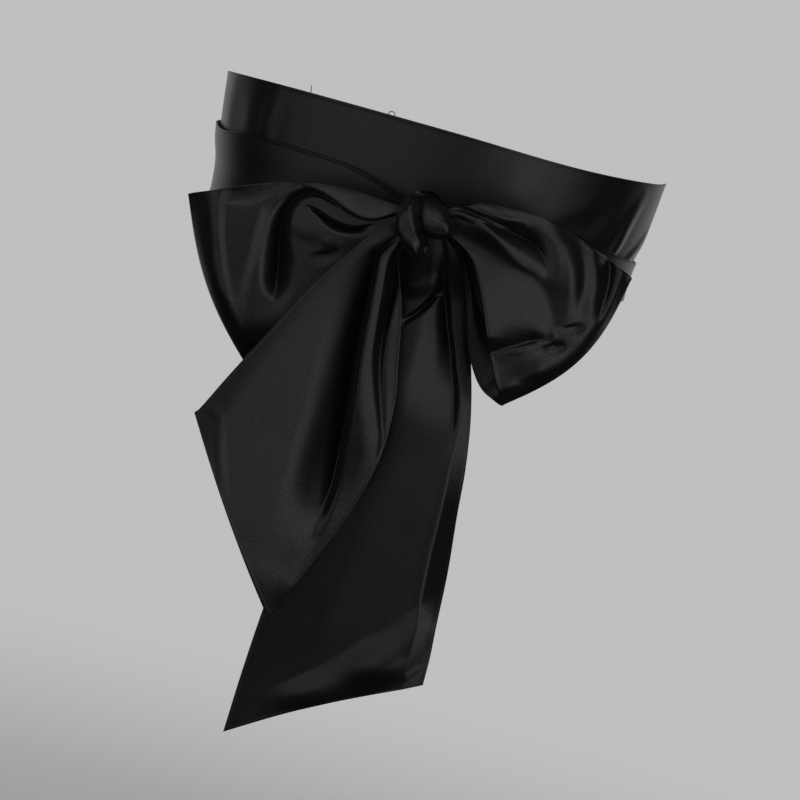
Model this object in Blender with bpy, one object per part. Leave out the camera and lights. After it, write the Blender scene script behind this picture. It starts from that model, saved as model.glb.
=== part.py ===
"""Black satin sash, wound twice round a waist and tied in a bow at the front.

Metres, +Z up. The origin is the middle of the waist hollow, at mid-height of the wound
ribbon. The bow faces -Y. Every stretch of the ribbon is a thin closed shell: a surface of
two parameters, worked out in millimetres from a short table of sections and a table of
folds, then given the thickness of the cloth.
"""

import bpy
import numpy as np

MM = 0.001

# Driving sizes, in millimetres
CLOTH = 1.2  # wall of one layer of satin
SEAM = 0.3  # clear gap where two stretches of the ribbon meet
WAIST_LENGTH = 690.0  # once round the waist
STRETCH_END = 0.30  # in turns from the front: where the front band gives way to the back
WRAP_END = 0.70  # in turns: where the crossing at the back gives way to the second round
KNOT_END = 0.988  # in turns: where the second round enters the knot

# Half sizes of the waist hollow at each height
WAIST_COLUMNS = ("height", "half_width", "front", "back")
WAIST = (
    (36, 127.0, 96.0, 87.0),
    (10, 124.4, 94.0, 85.0),
    (-4, 122.6, 92.5, 84.0),
    (-15, 119.6, 91.0, 83.0),
    (-40, 117.5, 90.0, 82.0),
)

# The ribbon as it is wound. Turns run from the front centre: positive ones go round by -X.
# The branch below zero passes over the other at the back and ends on the left of the knot.
WOUND_COLUMNS = ("turn", "top", "bottom", "out")
WOUND = (
    (-0.990, -7.5, -26, 19.0),
    (-0.970, -3, -30, 8.0),
    (-0.945, 2, -33, 3.8),
    (-0.90, 4, -36, 2.8),
    (-0.84, 3.5, -37, 2.8),
    (-0.80, 1.5, -36, 2.6),
    (-0.75, 4, -35, 2.5),
    (-0.70, 4, -36, 2.5),
    (-0.62, -1, -38, 2.5),
    (-0.56, 4, -36, 2.6),
    (-0.50, 13, -30, 2.4),
    (-0.44, 19, -18, 2.4),
    (-0.40, 21.5, -8, 2.3),
    (-0.36, 24, -6, 1.2),
    (-0.32, 27, -9, 0.2),
    (-0.28, 30, -13, 0.0),
    (-0.25, 32, -17, 0.0),
    (-0.20, 31.6, -20, 0.0),
    (-0.10, 31.2, -24, 0.0),
    (0.00, 34.3, -26, 0.0),
    (0.10, 35.2, -24, 0.0),
    (0.20, 33.8, -18, 0.0),
    (0.25, 32.6, -15, 0.0),
    (0.32, 28.5, -17, 0.0),
    (0.40, 23, -17, 0.0),
    (0.50, 12, -28, 0.0),
    (0.56, 5, -34, 0.0),
    (0.60, -3, -37, 0.0),
    (0.64, -8.5, -38, 0.9),
    (0.68, -11.5, -38, 2.2),
    (0.75, -15.5, -37, 2.2),
    (0.80, -13.3, -38, 2.2),
    (0.84, -10, -39, 2.2),
    (0.87, -6, -39, 2.2),
    (0.90, -1, -38, 2.4),
    (0.945, 2, -35, 3.6),
    (0.970, 0.5, -28, 8.0),
    (0.990, -5, -19, 19.0),
)

# Folds along the wound ribbon: from one place to another, in turns and in the share of the
# height from the bottom edge. Rise is outwards, reach is half the width of the fold in mm.
WOUND_FOLD_COLUMNS = ("turn_a", "share_a", "turn_b", "share_b", "rise", "reach")
WOUND_FOLDS = (
    (-0.86, 0.36, -0.62, 0.44, -0.9, 6),
    (-0.98, 0.50, -0.86, 0.66, 1.4, 7),
    (-0.60, 0.25, -0.42, 0.35, 1.2, 8),
    (-0.56, 0.70, -0.38, 0.62, 1.0, 8),
    (0.44, 0.70, 0.60, 0.66, -0.8, 8),
    (0.50, 0.30, 0.70, 0.34, -0.8, 8),
    (0.80, 0.45, 0.96, 0.55, 1.2, 8),
    (-0.25, 0.30, -0.16, 0.44, 1.0, 8),
)

# Sections of the bow's pieces, each across the ribbon, from the knot outwards. The upper
# (or left) edge and the lower (or right) edge are points; puff moves the middle of the
# section forwards, and bow carries it on along the ribbon, away from the knot.
SECTION_COLUMNS = ("xa", "ya", "za", "xb", "yb", "zb", "puff", "bow")
LOOP_LEFT = (
    (-5, -121, -12, -4, -121, -21, 0, 0),
    (-14, -121, -10, -10, -121, -24, 1, 0),
    (-25, -125, -9, -15, -121, -31, 2, 0),
    (-40, -128, -8, -23, -121, -43, 4, 0),
    (-58, -128, -9, -31, -120, -60, 6, 0),
    (-76, -126, -13, -41, -118, -79, 7, 0),
    (-94, -120, -19, -51, -115, -97, 7, 1),
    (-111, -112, -26, -60, -110, -111, 5, 3),
    (-126, -102, -33, -69, -103, -119, 0, 7),
    (-112, -93, -30, -61, -95, -113, -3, 3),
    (-92, -95, -24, -50, -96, -99, -3, 0),
    (-70, -98, -18, -40, -98, -80, -2, 0),
    (-46, -101, -14, -28, -101, -58, -1, 0),
    (-26, -106, -12, -17, -106, -36, 0, 0),
    (-13, -112, -12, -9, -112, -24, 0, 0),
    (-5, -113, -13, -4, -113, -20, 0, 0),
)
LOOP_RIGHT = (
    (7, -121, -10, 8, -121, -19, 0, 0),
    (13, -122, -4, 15, -121, -18, 1, 0),
    (20, -124, -1, 23, -124, -22, 2, 0),
    (31, -127, 3, 30, -127, -27, 3, 0),
    (45, -128, 3, 37, -129, -38, 4, 0),
    (60, -127, 3, 43, -130, -51, 5, 0),
    (75, -123, 0, 48, -129, -64, 7, 1),
    (92, -116, -7, 54, -126, -78, 7, 3),
    (105, -108, -12, 60, -121, -90, 5, 7),
    (117, -99, -18, 66, -113, -101, 0, 12),
    (104, -91, -16, 60, -104, -100, -2, 8),
    (86, -93, -12, 53, -103, -96, -2, 3),
    (66, -96, -8, 45, -103, -85, -2, 1),
    (48, -99, -6, 39, -104, -70, -1, 0),
    (34, -103, -6, 33, -105, -50, 0, 0),
    (22, -108, -8, 24, -108, -30, 0, 0),
    (13, -112, -9, 15, -112, -20, 0, 0),
    (7, -113, -12, 8, -113, -18, 0, 0),
)
TAIL_FRONT = (
    (-4, -123, -17, 2, -122, -22, 0, 0),
    (-12, -126, -18, -6, -122, -27, 1, 0),
    (-23, -130, -26, -8, -121.5, -39, 3, 0),
    (-33, -131, -39, -9, -120, -58, 3, 0),
    (-45, -130.5, -56, -7, -118, -73, 3, 0),
    (-55, -130, -73, -3, -117, -89, 2, 0),
    (-65, -129, -92, 4, -116, -106, 2, 0),
    (-73, -128.5, -110, 9, -115, -123, 2, 0),
    (-83, -128, -126, 9, -113, -147, 2, 0),
    (-89, -127.5, -138, 2, -112, -175, 2, 0),
    (-93, -127, -144, -28, -110, -246, 1, 1.5),
)
TAIL_BACK = (
    (-3, -112, -20, 6, -112, -20, 0, 0),
    (-5, -109, -31, 20, -106, -28, 1, 0),
    (-10, -106, -45, 31, -102, -42, 1, 0),
    (-14, -103, -60, 38, -100, -60, 1, 0),
    (-18, -99, -85, 46, -98, -86, 1, 0),
    (-20, -98, -116, 52, -96.5, -114, 1, 0),
    (-22, -97, -147, 56, -94, -141, 1, 0),
    (-25, -96, -183, 58, -90, -168, 1, 0),
    (-29, -93, -216, 61, -86, -202, 1, 0),
    (-32, -91, -242, 62, -86, -229, 1, 0),
    (-35, -88, -280, 63, -92, -248, 0, 0),
    (-37, -85, -317, 63, -93, -263, 0, -2),
)

# Folds of the bow's pieces: each runs on a bent line through three points seen from the
# front. Rise is forwards, and a trough has a rise below zero.
FOLD_COLUMNS = ("x0", "z0", "x1", "z1", "x2", "z2", "rise", "reach")
LOOP_LEFT_FOLDS = (
    (-66, -10, -44, -10, -16, -14, 2.5, 9),
    (-62, -20, -44, -27, -20, -21, -4.0, 9),
    (-62, -18, -78, -34, -68, -76, -5.0, 13),
    (-100, -36, -98, -62, -88, -80, 2.5, 13),
)
LOOP_RIGHT_FOLDS = (
    (32, -12, 68, -26, 83, -58, 4.0, 12),
    (36, -4, 60, -14, 78, -30, -4.0, 10),
    (50, -76, 66, -68, 86, -60, -3.0, 9),
    (84, -6, 95, -20, 102, -38, 2.5, 10),
)
TAIL_FRONT_FOLDS = (
    (-17, -52, -24, -96, -13, -190, -11.0, 15),
    (-10, -28, -12, -80, 2, -150, 3.5, 9),
)
TAIL_BACK_FOLDS = (
    (21, -46, 18, -90, 8, -150, 4.0, 14),
    (30, -66, 34, -92, 34, -126, -3.0, 11),
    (-10, -180, 0, -230, 4, -290, 2.0, 22),
)

# The knot: its outline round KNOT_CENTRE, seen from the front, with angles from +X
KNOT_CENTRE = (1.0, -122.0, -15.0)
KNOT_FRONT = 16.0
KNOT_BACK = 14.0
KNOT_COLUMNS = ("angle", "radius")
KNOT = (
    (-180, 15.0),
    (-150, 13.9),
    (-115, 14.3),
    (-97, 16.6),
    (-80, 19.6),
    (-64, 15.2),
    (-36, 12.6),
    (-4, 16.0),
    (11, 15.3),
    (34, 14.4),
    (60, 14.2),
    (90, 16.0),
    (116, 15.9),
    (135, 15.6),
    (162, 15.8),
    (180, 15.0),
)
KNOT_FOLDS = (
    (-4, 0, -3, -14, 4, -25, -3.0, 4),
    (-12, -10, -8, -20, 3, -32, 1.6, 5),
    (4, -4, 10, -12, 16, -14, 1.6, 4),
    (1, -24, 8, -21, 16, -19, -1.6, 3),
)
KNOT_ROOM = 1.03  # the pieces that enter the knot stop at its form, grown by this


def table(rows, names):
    """The table's columns by name, each an array."""
    return dict(zip(names, np.asarray(rows, float).T))


def through(marks, values, at):
    """A smooth curve through values at marks: cubic pieces, with slopes from the neighbours."""
    slopes = np.gradient(values, marks)
    left = np.clip(np.searchsorted(marks, at, side="right") - 1, 0, len(marks) - 2)
    step = marks[left + 1] - marks[left]
    s = (at - marks[left]) / step
    return (
        (1 + 2 * s) * (1 - s) ** 2 * values[left]
        + s * (1 - s) ** 2 * step * slopes[left]
        + s * s * (3 - 2 * s) * values[left + 1]
        + s * s * (s - 1) * step * slopes[left + 1]
    )


def bump(distance):
    """One on the fold's line and zero a reach away, with no kink at either."""
    inside = np.clip(1 - distance**2, 0, 1)
    return inside * inside


def fold_heights(x, z, rows):
    """Sum of the folds at each point: height along each bent line, faded over its ends."""
    total = np.zeros_like(x)
    along = np.linspace(0, 1, 33)
    for row in rows:
        fold = dict(zip(FOLD_COLUMNS, row))
        bend = 2 * along * (1 - along)
        line_x = (1 - along) ** 2 * fold["x0"] + bend * fold["x1"] + along**2 * fold["x2"]
        line_z = (1 - along) ** 2 * fold["z0"] + bend * fold["z1"] + along**2 * fold["z2"]
        apart = np.hypot(x[..., None] - line_x, z[..., None] - line_z)
        nearest = apart.argmin(axis=-1)
        fade = 0.35 + 0.65 * np.sin(np.pi * along[nearest])
        total += fold["rise"] * fade * bump(apart.min(axis=-1) / fold["reach"])
    return total


def bow_surface(rows, folds, side, stations, across, last_front):
    """The ribbon of one bow piece, as a grid: sections joined by smooth curves.

    Side is +1 where the first edge of a section lies to the right of its run, seen from
    the front, and -1 where it lies to the left. Folds move the front layer only, up to the
    share last_front of the run, and fade in over the first millimetres out of the knot.
    """
    edge = table(rows, SECTION_COLUMNS)
    middle = np.array([edge["xa"] + edge["xb"], edge["ya"] + edge["yb"], edge["za"] + edge["zb"]]) / 2
    marks = np.append(0, np.cumsum(np.linalg.norm(np.diff(middle), axis=0)))
    run = np.linspace(0, marks[-1], stations)
    col = {name: through(marks, values, run)[:, None] for name, values in edge.items()}
    share = np.linspace(0, 1, across)[None, :]
    arch = np.sin(np.pi * share)
    chord_x = col["xb"] - col["xa"]
    chord_z = col["zb"] - col["za"]
    push = col["bow"] * arch / np.hypot(chord_x, chord_z)
    x = col["xa"] + share * chord_x + side * push * chord_z
    z = col["za"] + share * chord_z - side * push * chord_x
    y = col["ya"] + share * (col["yb"] - col["ya"]) - col["puff"] * arch
    ahead = np.clip((last_front - run[:, None] / marks[-1]) / 0.06, 0, 1)
    begin = np.clip(run[:, None] / 12, 0, 1)
    y = y - fold_heights(x, z, folds) * ahead * begin
    return np.stack([x, y, z], axis=-1)


def wound_surface(first, last, stations, across):
    """The ribbon round the waist between two places, as a grid, with its folds."""
    wound = table(WOUND, WOUND_COLUMNS)
    waist = table(WAIST[::-1], WAIST_COLUMNS)
    turn = np.linspace(first, last, stations)[:, None]
    share = np.linspace(0, 1, across)[None, :]
    col = {name: through(wound["turn"], values, turn) for name, values in wound.items()}
    z = col["bottom"] + share * (col["top"] - col["bottom"])
    out = col["out"] + np.zeros_like(z)
    for row in WOUND_FOLDS:
        fold = dict(zip(WOUND_FOLD_COLUMNS, row))
        along = (turn - fold["turn_a"]) / (fold["turn_b"] - fold["turn_a"])
        line = fold["share_a"] + along * (fold["share_b"] - fold["share_a"])
        apart = (share - line) * (col["top"] - col["bottom"]) / fold["reach"]
        fade = np.sin(np.pi * np.clip(along, 0, 1))
        out = out + fold["rise"] * fade * bump(apart)
    angle = 2 * np.pi * turn
    half_width = np.interp(z, waist["height"], waist["half_width"])
    front = np.interp(z, waist["height"], waist["front"])
    back = np.interp(z, waist["height"], waist["back"])
    depth = np.where(np.cos(angle) > 0, front, back)
    x = -(half_width + out) * np.sin(angle)
    y = -(depth + out) * np.cos(angle)
    return np.stack([x, y, z], axis=-1)


def knot_surface(around, rings):
    """The knot as a closed grid: its outline, drawn in towards a front and a back pole."""
    outline = table(KNOT, KNOT_COLUMNS)
    angle = np.linspace(-180, 180, around, endpoint=False)
    radius = through(outline["angle"], outline["radius"], angle)[None, :]
    tilt = np.linspace(-np.pi / 2, np.pi / 2, rings)[:, None]
    reach = np.cos(tilt) ** 0.8
    x = KNOT_CENTRE[0] + radius * reach * np.cos(np.radians(angle))
    z = KNOT_CENTRE[2] + radius * reach * np.sin(np.radians(angle))
    deep = np.where(tilt < 0, KNOT_FRONT, KNOT_BACK) * np.sin(tilt)
    y = KNOT_CENTRE[1] + deep + np.zeros_like(x)
    front = np.clip(-np.sin(tilt) * 2, 0, 1)
    y = y - front * fold_heights(x, z, KNOT_FOLDS)
    return np.stack([x, y, z], axis=-1)


def unit(vectors):
    return vectors / np.linalg.norm(vectors, axis=-1, keepdims=True)


def add_object(name, points, faces, colour_name):
    """A mesh object of these points, given in millimetres, with its faces turned outwards."""
    corners = points[np.array([face[:3] for face in faces])]
    fans = points[np.array([[face[0], face[2], face[-1]] for face in faces])]
    volume = np.linalg.det(corners).sum() + np.linalg.det(fans).sum()
    if volume < 0:
        faces = [face[::-1] for face in faces]
    mesh = bpy.data.meshes.new(name)
    mesh.from_pydata((points * MM).tolist(), [], faces)
    mesh.validate()
    mesh.shade_smooth()
    mesh.set_sharp_from_angle(angle=np.radians(60))
    mesh.materials.append(bpy.data.materials[colour_name])
    made = bpy.data.objects.new(name, mesh)
    bpy.context.collection.objects.link(made)
    return made


def shell(name, grid, colour_name):
    """A closed wall of the cloth's thickness about the grid, with rims all round."""
    rows, columns = grid.shape[:2]
    normal = unit(np.cross(np.gradient(grid, axis=0), np.gradient(grid, axis=1)))
    points = np.concatenate([
        (grid + normal * CLOTH / 2).reshape(-1, 3),
        (grid - normal * CLOTH / 2).reshape(-1, 3),
    ])
    below = rows * columns
    faces = []
    for i in range(rows - 1):
        for j in range(columns - 1):
            a = i * columns + j
            quad = (a, a + 1, a + columns + 1, a + columns)
            faces.append(quad)
            faces.append(tuple(k + below for k in quad[::-1]))
    rim = [j for j in range(columns)]
    rim += [i * columns + columns - 1 for i in range(1, rows)]
    rim += [(rows - 1) * columns + j for j in range(columns - 2, -1, -1)]
    rim += [i * columns for i in range(rows - 2, 0, -1)]
    for a, b in zip(rim, rim[1:] + rim[:1]):
        faces.append((b, a, a + below, b + below))
    return add_object(name, points, faces, colour_name)


def lump(name, grid, colour_name):
    """A closed body from a grid whose first and last rows are poles and whose columns meet."""
    rows, columns = grid.shape[:2]
    points = np.concatenate([grid[0, :1], grid[1:-1].reshape(-1, 3), grid[-1, :1]])
    last = len(points) - 1
    faces = []
    for j in range(columns):
        k = (j + 1) % columns
        faces.append((0, 1 + j, 1 + k))
        faces.append((last, last - columns + k, last - columns + j))
        for i in range(rows - 3):
            a = 1 + i * columns
            faces.append((a + j, a + columns + j, a + columns + k, a + k))
    return add_object(name, points, faces, colour_name)


def satin(name, colour, roughness):
    material = bpy.data.materials.new(name)
    material.use_nodes = True
    shader = material.node_tree.nodes["Principled BSDF"]
    shader.inputs["Base Color"].default_value = (*colour, 1)
    shader.inputs["Roughness"].default_value = roughness
    shader.inputs["Metallic"].default_value = 0
    material.diffuse_color = (*colour, 1)


def leave_room(piece, room):
    """Cuts the room round the knot out of a piece that enters it."""
    cut = piece.modifiers.new("room for the knot", "BOOLEAN")
    cut.operation = "DIFFERENCE"
    cut.object = room


for old in list(bpy.data.objects):
    bpy.data.objects.remove(old)

satin("satin face", (0.018, 0.018, 0.021), 0.34)
satin("satin knot", (0.016, 0.016, 0.019), 0.36)

half_seam = SEAM / 2 / WAIST_LENGTH
stretches = (
    ("band_front", -STRETCH_END + half_seam, STRETCH_END - half_seam, 40),
    ("back_over", -WRAP_END + half_seam, -STRETCH_END - half_seam, 24),
    ("back_under", STRETCH_END + half_seam, WRAP_END - half_seam, 24),
    ("wrap_left", -KNOT_END, -WRAP_END - half_seam, 21),
    ("wrap_right", WRAP_END + half_seam, KNOT_END, 21),
)
entering = []
for name, first, last, stations in stretches:
    made = shell(name, wound_surface(first, last, stations, 7), "satin face")
    if name.startswith("wrap"):
        entering.append(made)

bow_pieces = (
    ("loop_left", LOOP_LEFT, LOOP_LEFT_FOLDS, 1, 34, 11, 0.5),
    ("loop_right", LOOP_RIGHT, LOOP_RIGHT_FOLDS, -1, 34, 11, 0.5),
    ("tail_front", TAIL_FRONT, TAIL_FRONT_FOLDS, 1, 23, 11, 2.0),
    ("tail_back", TAIL_BACK, TAIL_BACK_FOLDS, 1, 23, 10, 2.0),
)
for name, rows, folds, side, stations, across, last_front in bow_pieces:
    grid = bow_surface(rows, folds, side, stations, across, last_front)
    entering.append(shell(name, grid, "satin face"))

knot_grid = knot_surface(28, 15)
lump("knot", knot_grid, "satin knot")
room = lump("knot_room", (knot_grid - KNOT_CENTRE) * KNOT_ROOM + KNOT_CENTRE, "satin knot")
room.hide_render = True
room.display_type = "WIRE"
for piece in entering:
    leave_room(piece, room)
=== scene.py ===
import math
import bpy
import numpy as np
from mathutils import Matrix


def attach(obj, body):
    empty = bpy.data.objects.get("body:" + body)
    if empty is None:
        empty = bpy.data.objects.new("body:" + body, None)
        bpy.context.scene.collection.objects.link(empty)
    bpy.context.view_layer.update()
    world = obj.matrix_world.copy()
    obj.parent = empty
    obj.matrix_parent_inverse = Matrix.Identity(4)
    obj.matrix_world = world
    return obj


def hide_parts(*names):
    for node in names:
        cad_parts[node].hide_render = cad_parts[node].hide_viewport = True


# Black satin sash, wound twice round the waist and tied in a bow. Shapes are worked out in
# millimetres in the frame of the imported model: +Z up, the bow faces -Y.

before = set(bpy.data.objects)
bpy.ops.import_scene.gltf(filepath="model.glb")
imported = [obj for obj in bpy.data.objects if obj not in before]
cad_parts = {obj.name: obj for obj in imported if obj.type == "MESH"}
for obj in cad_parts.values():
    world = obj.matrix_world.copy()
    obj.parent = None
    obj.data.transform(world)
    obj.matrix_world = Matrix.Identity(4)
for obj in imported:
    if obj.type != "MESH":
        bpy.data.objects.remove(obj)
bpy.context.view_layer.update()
mm = 0.001


shot = {
    "target": (12.2, 0.0, -123.4),  # what the middle of the picture looks at
    "distance": 2500.0,
    "pitch": 5.8,  # degrees looking down
    "roll": 14.33,  # the wearer leans to one side
    "mmPerPixel": 0.565,
    "pixels": 800,
    "sensor": 36.0,
}

studio = {
    "paleSeen": (0.530, 0.524, 0.530),  # what the camera sees behind the sash
    "paleFelt": (0.016, 0.016, 0.018),  # how much of it the cloth mirrors
    "floorHeight": -1.0,
    "floorRadius": 7.0,
    "floorRings": 24,
    "floorSpokes": 96,
    "ringSpread": 1.5,  # the rings stand wider apart further out
    "floorColour": (0.62, 0.615, 0.62),
    "fadeFrom": 1.2,  # from here outwards, in metres, the floor fades into the backdrop
    "fadeTo": 4.5,
    "lampsAim": -0.12,  # height of the place that the lamps face, in metres
}

# Soft boxes: azimuth from the front (positive to the right), elevation, distance in metres,
# width, height, brightness
lamps = {
    "frontLeft": (-36, 9, 2.3, 3.6, 2.4, 0.50),
    "frontRight": (39, 5, 2.3, 1.45, 3.0, 1.04),
    "overhead": (0, 62, 2.2, 2.4, 1.2, 1.0),
    "backLeft": (-152, 8, 2.4, 2.6, 2.2, 0.62),
    "backRight": (150, 8, 2.4, 3.0, 2.2, 0.62),
}


def placeCamera(say):
    # the camera stands back from its target along a line that dips by the pitch, then is
    # turned about that line by the roll
    pitch, roll = math.radians(say["pitch"]), math.radians(say["roll"])
    ahead = np.array([0, math.cos(pitch), -math.sin(pitch)])
    level = np.array([1.0, 0, 0])
    upright = np.array([0, math.sin(pitch), math.cos(pitch)])
    right = math.cos(roll) * level + math.sin(roll) * upright
    up = -math.sin(roll) * level + math.cos(roll) * upright
    at = (np.array(say["target"]) - say["distance"] * ahead) * mm
    cam = bpy.data.cameras.new("camera")
    cam.sensor_width = say["sensor"]
    cam.lens = say["sensor"] * say["distance"] / (say["mmPerPixel"] * say["pixels"])
    cam.clip_end = 100
    made = bpy.data.objects.new("camera", cam)
    bpy.context.scene.collection.objects.link(made)
    turn = Matrix([[right[i], up[i], -ahead[i], at[i]] for i in range(3)] + [[0, 0, 0, 1]])
    made.matrix_world = turn
    bpy.context.scene.camera = made


def addLamp(name, azimuth, elevation, distance, width, height, bright):
    # a rectangle that faces the bow from that side; its power is brightness x area x pi
    lamp = bpy.data.lights.new(name, "AREA")
    lamp.shape = "RECTANGLE"
    lamp.size, lamp.size_y = width, height
    lamp.energy = bright * width * height * math.pi
    made = bpy.data.objects.new(name, lamp)
    bpy.context.scene.collection.objects.link(made)
    a, e = math.radians(azimuth), math.radians(elevation)
    away = np.array([math.sin(a) * math.cos(e), -math.cos(a) * math.cos(e), math.sin(e)])
    side = np.array([math.cos(a), math.sin(a), 0])
    top = np.cross(away, side)
    at = away * distance + np.array([0, 0, studio["lampsAim"]])
    made.matrix_world = Matrix(
        [[side[i], top[i], away[i], at[i]] for i in range(3)] + [[0, 0, 0, 1]]
    )
    made.visible_camera = False


def addNode(tree, kind, settings, values, output=0):
    # any node: its settings first, then the values or links of its sockets
    node = tree.nodes.new(kind)
    for name, value in settings.items():
        setattr(node, name, value)
    for name, value in values.items():
        socket = node.inputs[name]
        if isinstance(value, Signal):
            tree.links.new(value.socket, socket)
        else:
            socket.default_value = value
    return Signal(tree, node.outputs[output])


class Signal:
    # one socket's value in a shader; a sum on it adds its Math node
    def __init__(self, tree, socket):
        self.tree, self.socket = tree, socket

    def math(self, operation, a, b):
        return addNode(self.tree, "ShaderNodeMath", {"operation": operation}, {0: a, 1: b})

    def __add__(self, other):
        return self.math("ADD", self, other)

    def __sub__(self, other):
        return self.math("SUBTRACT", self, other)

    def __mul__(self, other):
        return self.math("MULTIPLY", self, other)

    def __rsub__(self, other):
        return self.math("SUBTRACT", other, self)

    __radd__ = __add__
    __rmul__ = __mul__


def blank(name):
    # a material with no nodes yet, and its node tree
    made = bpy.data.materials.new(name)
    made.use_nodes = True
    made.node_tree.nodes.clear()
    return made, made.node_tree


def surfaceOut(tree, shader):
    # what the material shows is this shader
    out = tree.nodes.new("ShaderNodeOutputMaterial")
    tree.links.new(shader.socket, out.inputs["Surface"])


def buildStage(say):
    # the backdrop is the world's own colour, and the floor fades into it far out
    scene = bpy.context.scene
    scene.view_settings.view_transform = "Standard"
    scene.view_settings.look = "None"
    world = bpy.data.worlds.new("studio")
    world.use_nodes = True
    tree = world.node_tree
    tree.nodes.clear()
    seen = addNode(tree, "ShaderNodeLightPath", {}, {}, "Is Camera Ray")
    tone = addNode(
        tree, "ShaderNodeMix", {"data_type": "RGBA"},
        {"Factor": seen, "A": (*say["paleFelt"], 1), "B": (*say["paleSeen"], 1)}, 2,
    )
    glow = addNode(tree, "ShaderNodeBackground", {}, {"Color": tone, "Strength": 1.0})
    out = tree.nodes.new("ShaderNodeOutputWorld")
    tree.links.new(glow.socket, out.inputs["Surface"])
    scene.world = world

    # the floor is a disc of rings and spokes
    rings, spokes = say["floorRings"], say["floorSpokes"]
    radius = np.linspace(0, 1, rings) ** say["ringSpread"] * say["floorRadius"]
    angle = np.linspace(0, 2 * np.pi, spokes, endpoint=False)
    x = radius[:, None] * np.cos(angle)
    y = radius[:, None] * np.sin(angle)
    grid = np.stack([x, y, np.full_like(x, say["floorHeight"])], axis=-1) / mm
    faces = gridFaces(rings, spokes, closed=True)
    floor = addMesh("floor", grid.reshape(-1, 3), faces)
    made, tree = blank("pale floor")
    place = addNode(tree, "ShaderNodeTexCoord", {}, {}, "Object")
    away = addNode(tree, "ShaderNodeVectorMath", {"operation": "LENGTH"}, {0: place}, "Value")
    fade = addNode(
        tree, "ShaderNodeMapRange", {"interpolation_type": "SMOOTHSTEP"},
        {"Value": away, "From Min": say["fadeFrom"], "From Max": say["fadeTo"]},
    )
    dull = addNode(
        tree, "ShaderNodeBsdfDiffuse", {}, {"Color": (*say["floorColour"], 1), "Roughness": 0.8}
    )
    clear = addNode(tree, "ShaderNodeBsdfTransparent", {}, {})
    both = addNode(tree, "ShaderNodeMixShader", {}, {0: fade, 1: dull, 2: clear})
    surfaceOut(tree, both)
    floor.data.materials.append(made)
    floor.visible_glossy = False  # a black cloth would mirror it as a glare from below


def gridFaces(rows, columns, closed=False):
    # the quads of a grid, row by row; closed joins the last column to the first
    i = np.arange(rows - 1)[:, None]
    j = np.arange(columns if closed else columns - 1)[None, :]
    k = (j + 1) % columns
    quads = np.stack([
        i * columns + j, i * columns + k, (i + 1) * columns + k, (i + 1) * columns + j
    ], axis=-1)
    return quads.reshape(-1, 4)


def addMesh(name, points, faces, uv=None):
    # points in millimetres and quads as arrays; uv holds one pair for each point
    mesh = bpy.data.meshes.new(name)
    mesh.vertices.add(len(points))
    mesh.vertices.foreach_set("co", (points * mm).astype(np.float32).ravel())
    mesh.loops.add(faces.size)
    mesh.loops.foreach_set("vertex_index", faces.astype(np.int32).ravel())
    mesh.polygons.add(len(faces))
    starts = np.arange(0, faces.size, faces.shape[1], dtype=np.int32)
    mesh.polygons.foreach_set("loop_start", starts)
    mesh.update(calc_edges=True)
    if uv is not None:
        layer = mesh.uv_layers.new(name="cloth")
        layer.data.foreach_set("uv", uv[faces.ravel()].astype(np.float32).ravel())
    mesh.validate()
    mesh.shade_smooth()
    made = bpy.data.objects.new(name, mesh)
    bpy.context.scene.collection.objects.link(made)
    return made


def volumeOf(points, faces):
    # six times the volume within the quads, below zero when they face inwards: the triple
    # product of each triangle's corners, two triangles a quad
    a, b, c, d = (points[faces[:, i]] for i in range(4))
    return np.einsum("ij,ij->", a, np.cross(b, c)) + np.einsum("ij,ij->", a, np.cross(c, d))


def unit(vectors):
    # each vector over its own length
    return vectors / np.linalg.norm(vectors, axis=-1, keepdims=True)


def normalsOf(grid):
    # the cross product of the grid's two slopes, made one long
    return unit(np.cross(np.gradient(grid, axis=0), np.gradient(grid, axis=1)))


cloth = {
    "width": 100.0,  # the ribbon, cut and hemmed
    "wall": 0.55,
    "hemWidth": 1.7,  # narrow and rolled
    "hemBend": 0.22,
    "hemExtra": 0.30,  # the hem is three layers thick
    "hemDent": 0.05,  # how far the line of stitches pulls in
    "dentWidth": 0.35,
    "hemForwards": 0.3,  # share of the hem's extra thickness on the front
    "rim": 0.45,  # radius of the folded edge
    "rimLeast": 0.04,  # share of the wall that is left at the very edge
}

# distances from an edge at which the cloth gets a line of points, so that its rim is round
# and its hem reads as a line
hemMarks = (0, 0.05, 0.16, 0.3, 0.45, 0.8, 1.2, 1.45, 1.7, 1.95, 2.3, 3.0)


def spread(length, step, hemAtStart=True, hemAtEnd=True, hemScale=1.0):
    # places from 0 to length: even steps, with the hem's own marks at its ends
    marks = np.array(hemMarks) * hemScale
    start = marks if hemAtStart else np.array([0.0])
    end = length - marks[::-1] if hemAtEnd else np.array([length])
    middle = np.linspace(start[-1], end[0], max(3, int(round((end[0] - start[-1]) / step)) + 1))
    return np.concatenate([start, middle[1:-1], end])


def table(rows, names):
    # one array for each named column
    return dict(zip(names.split(), np.asarray(rows, float).T))


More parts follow.
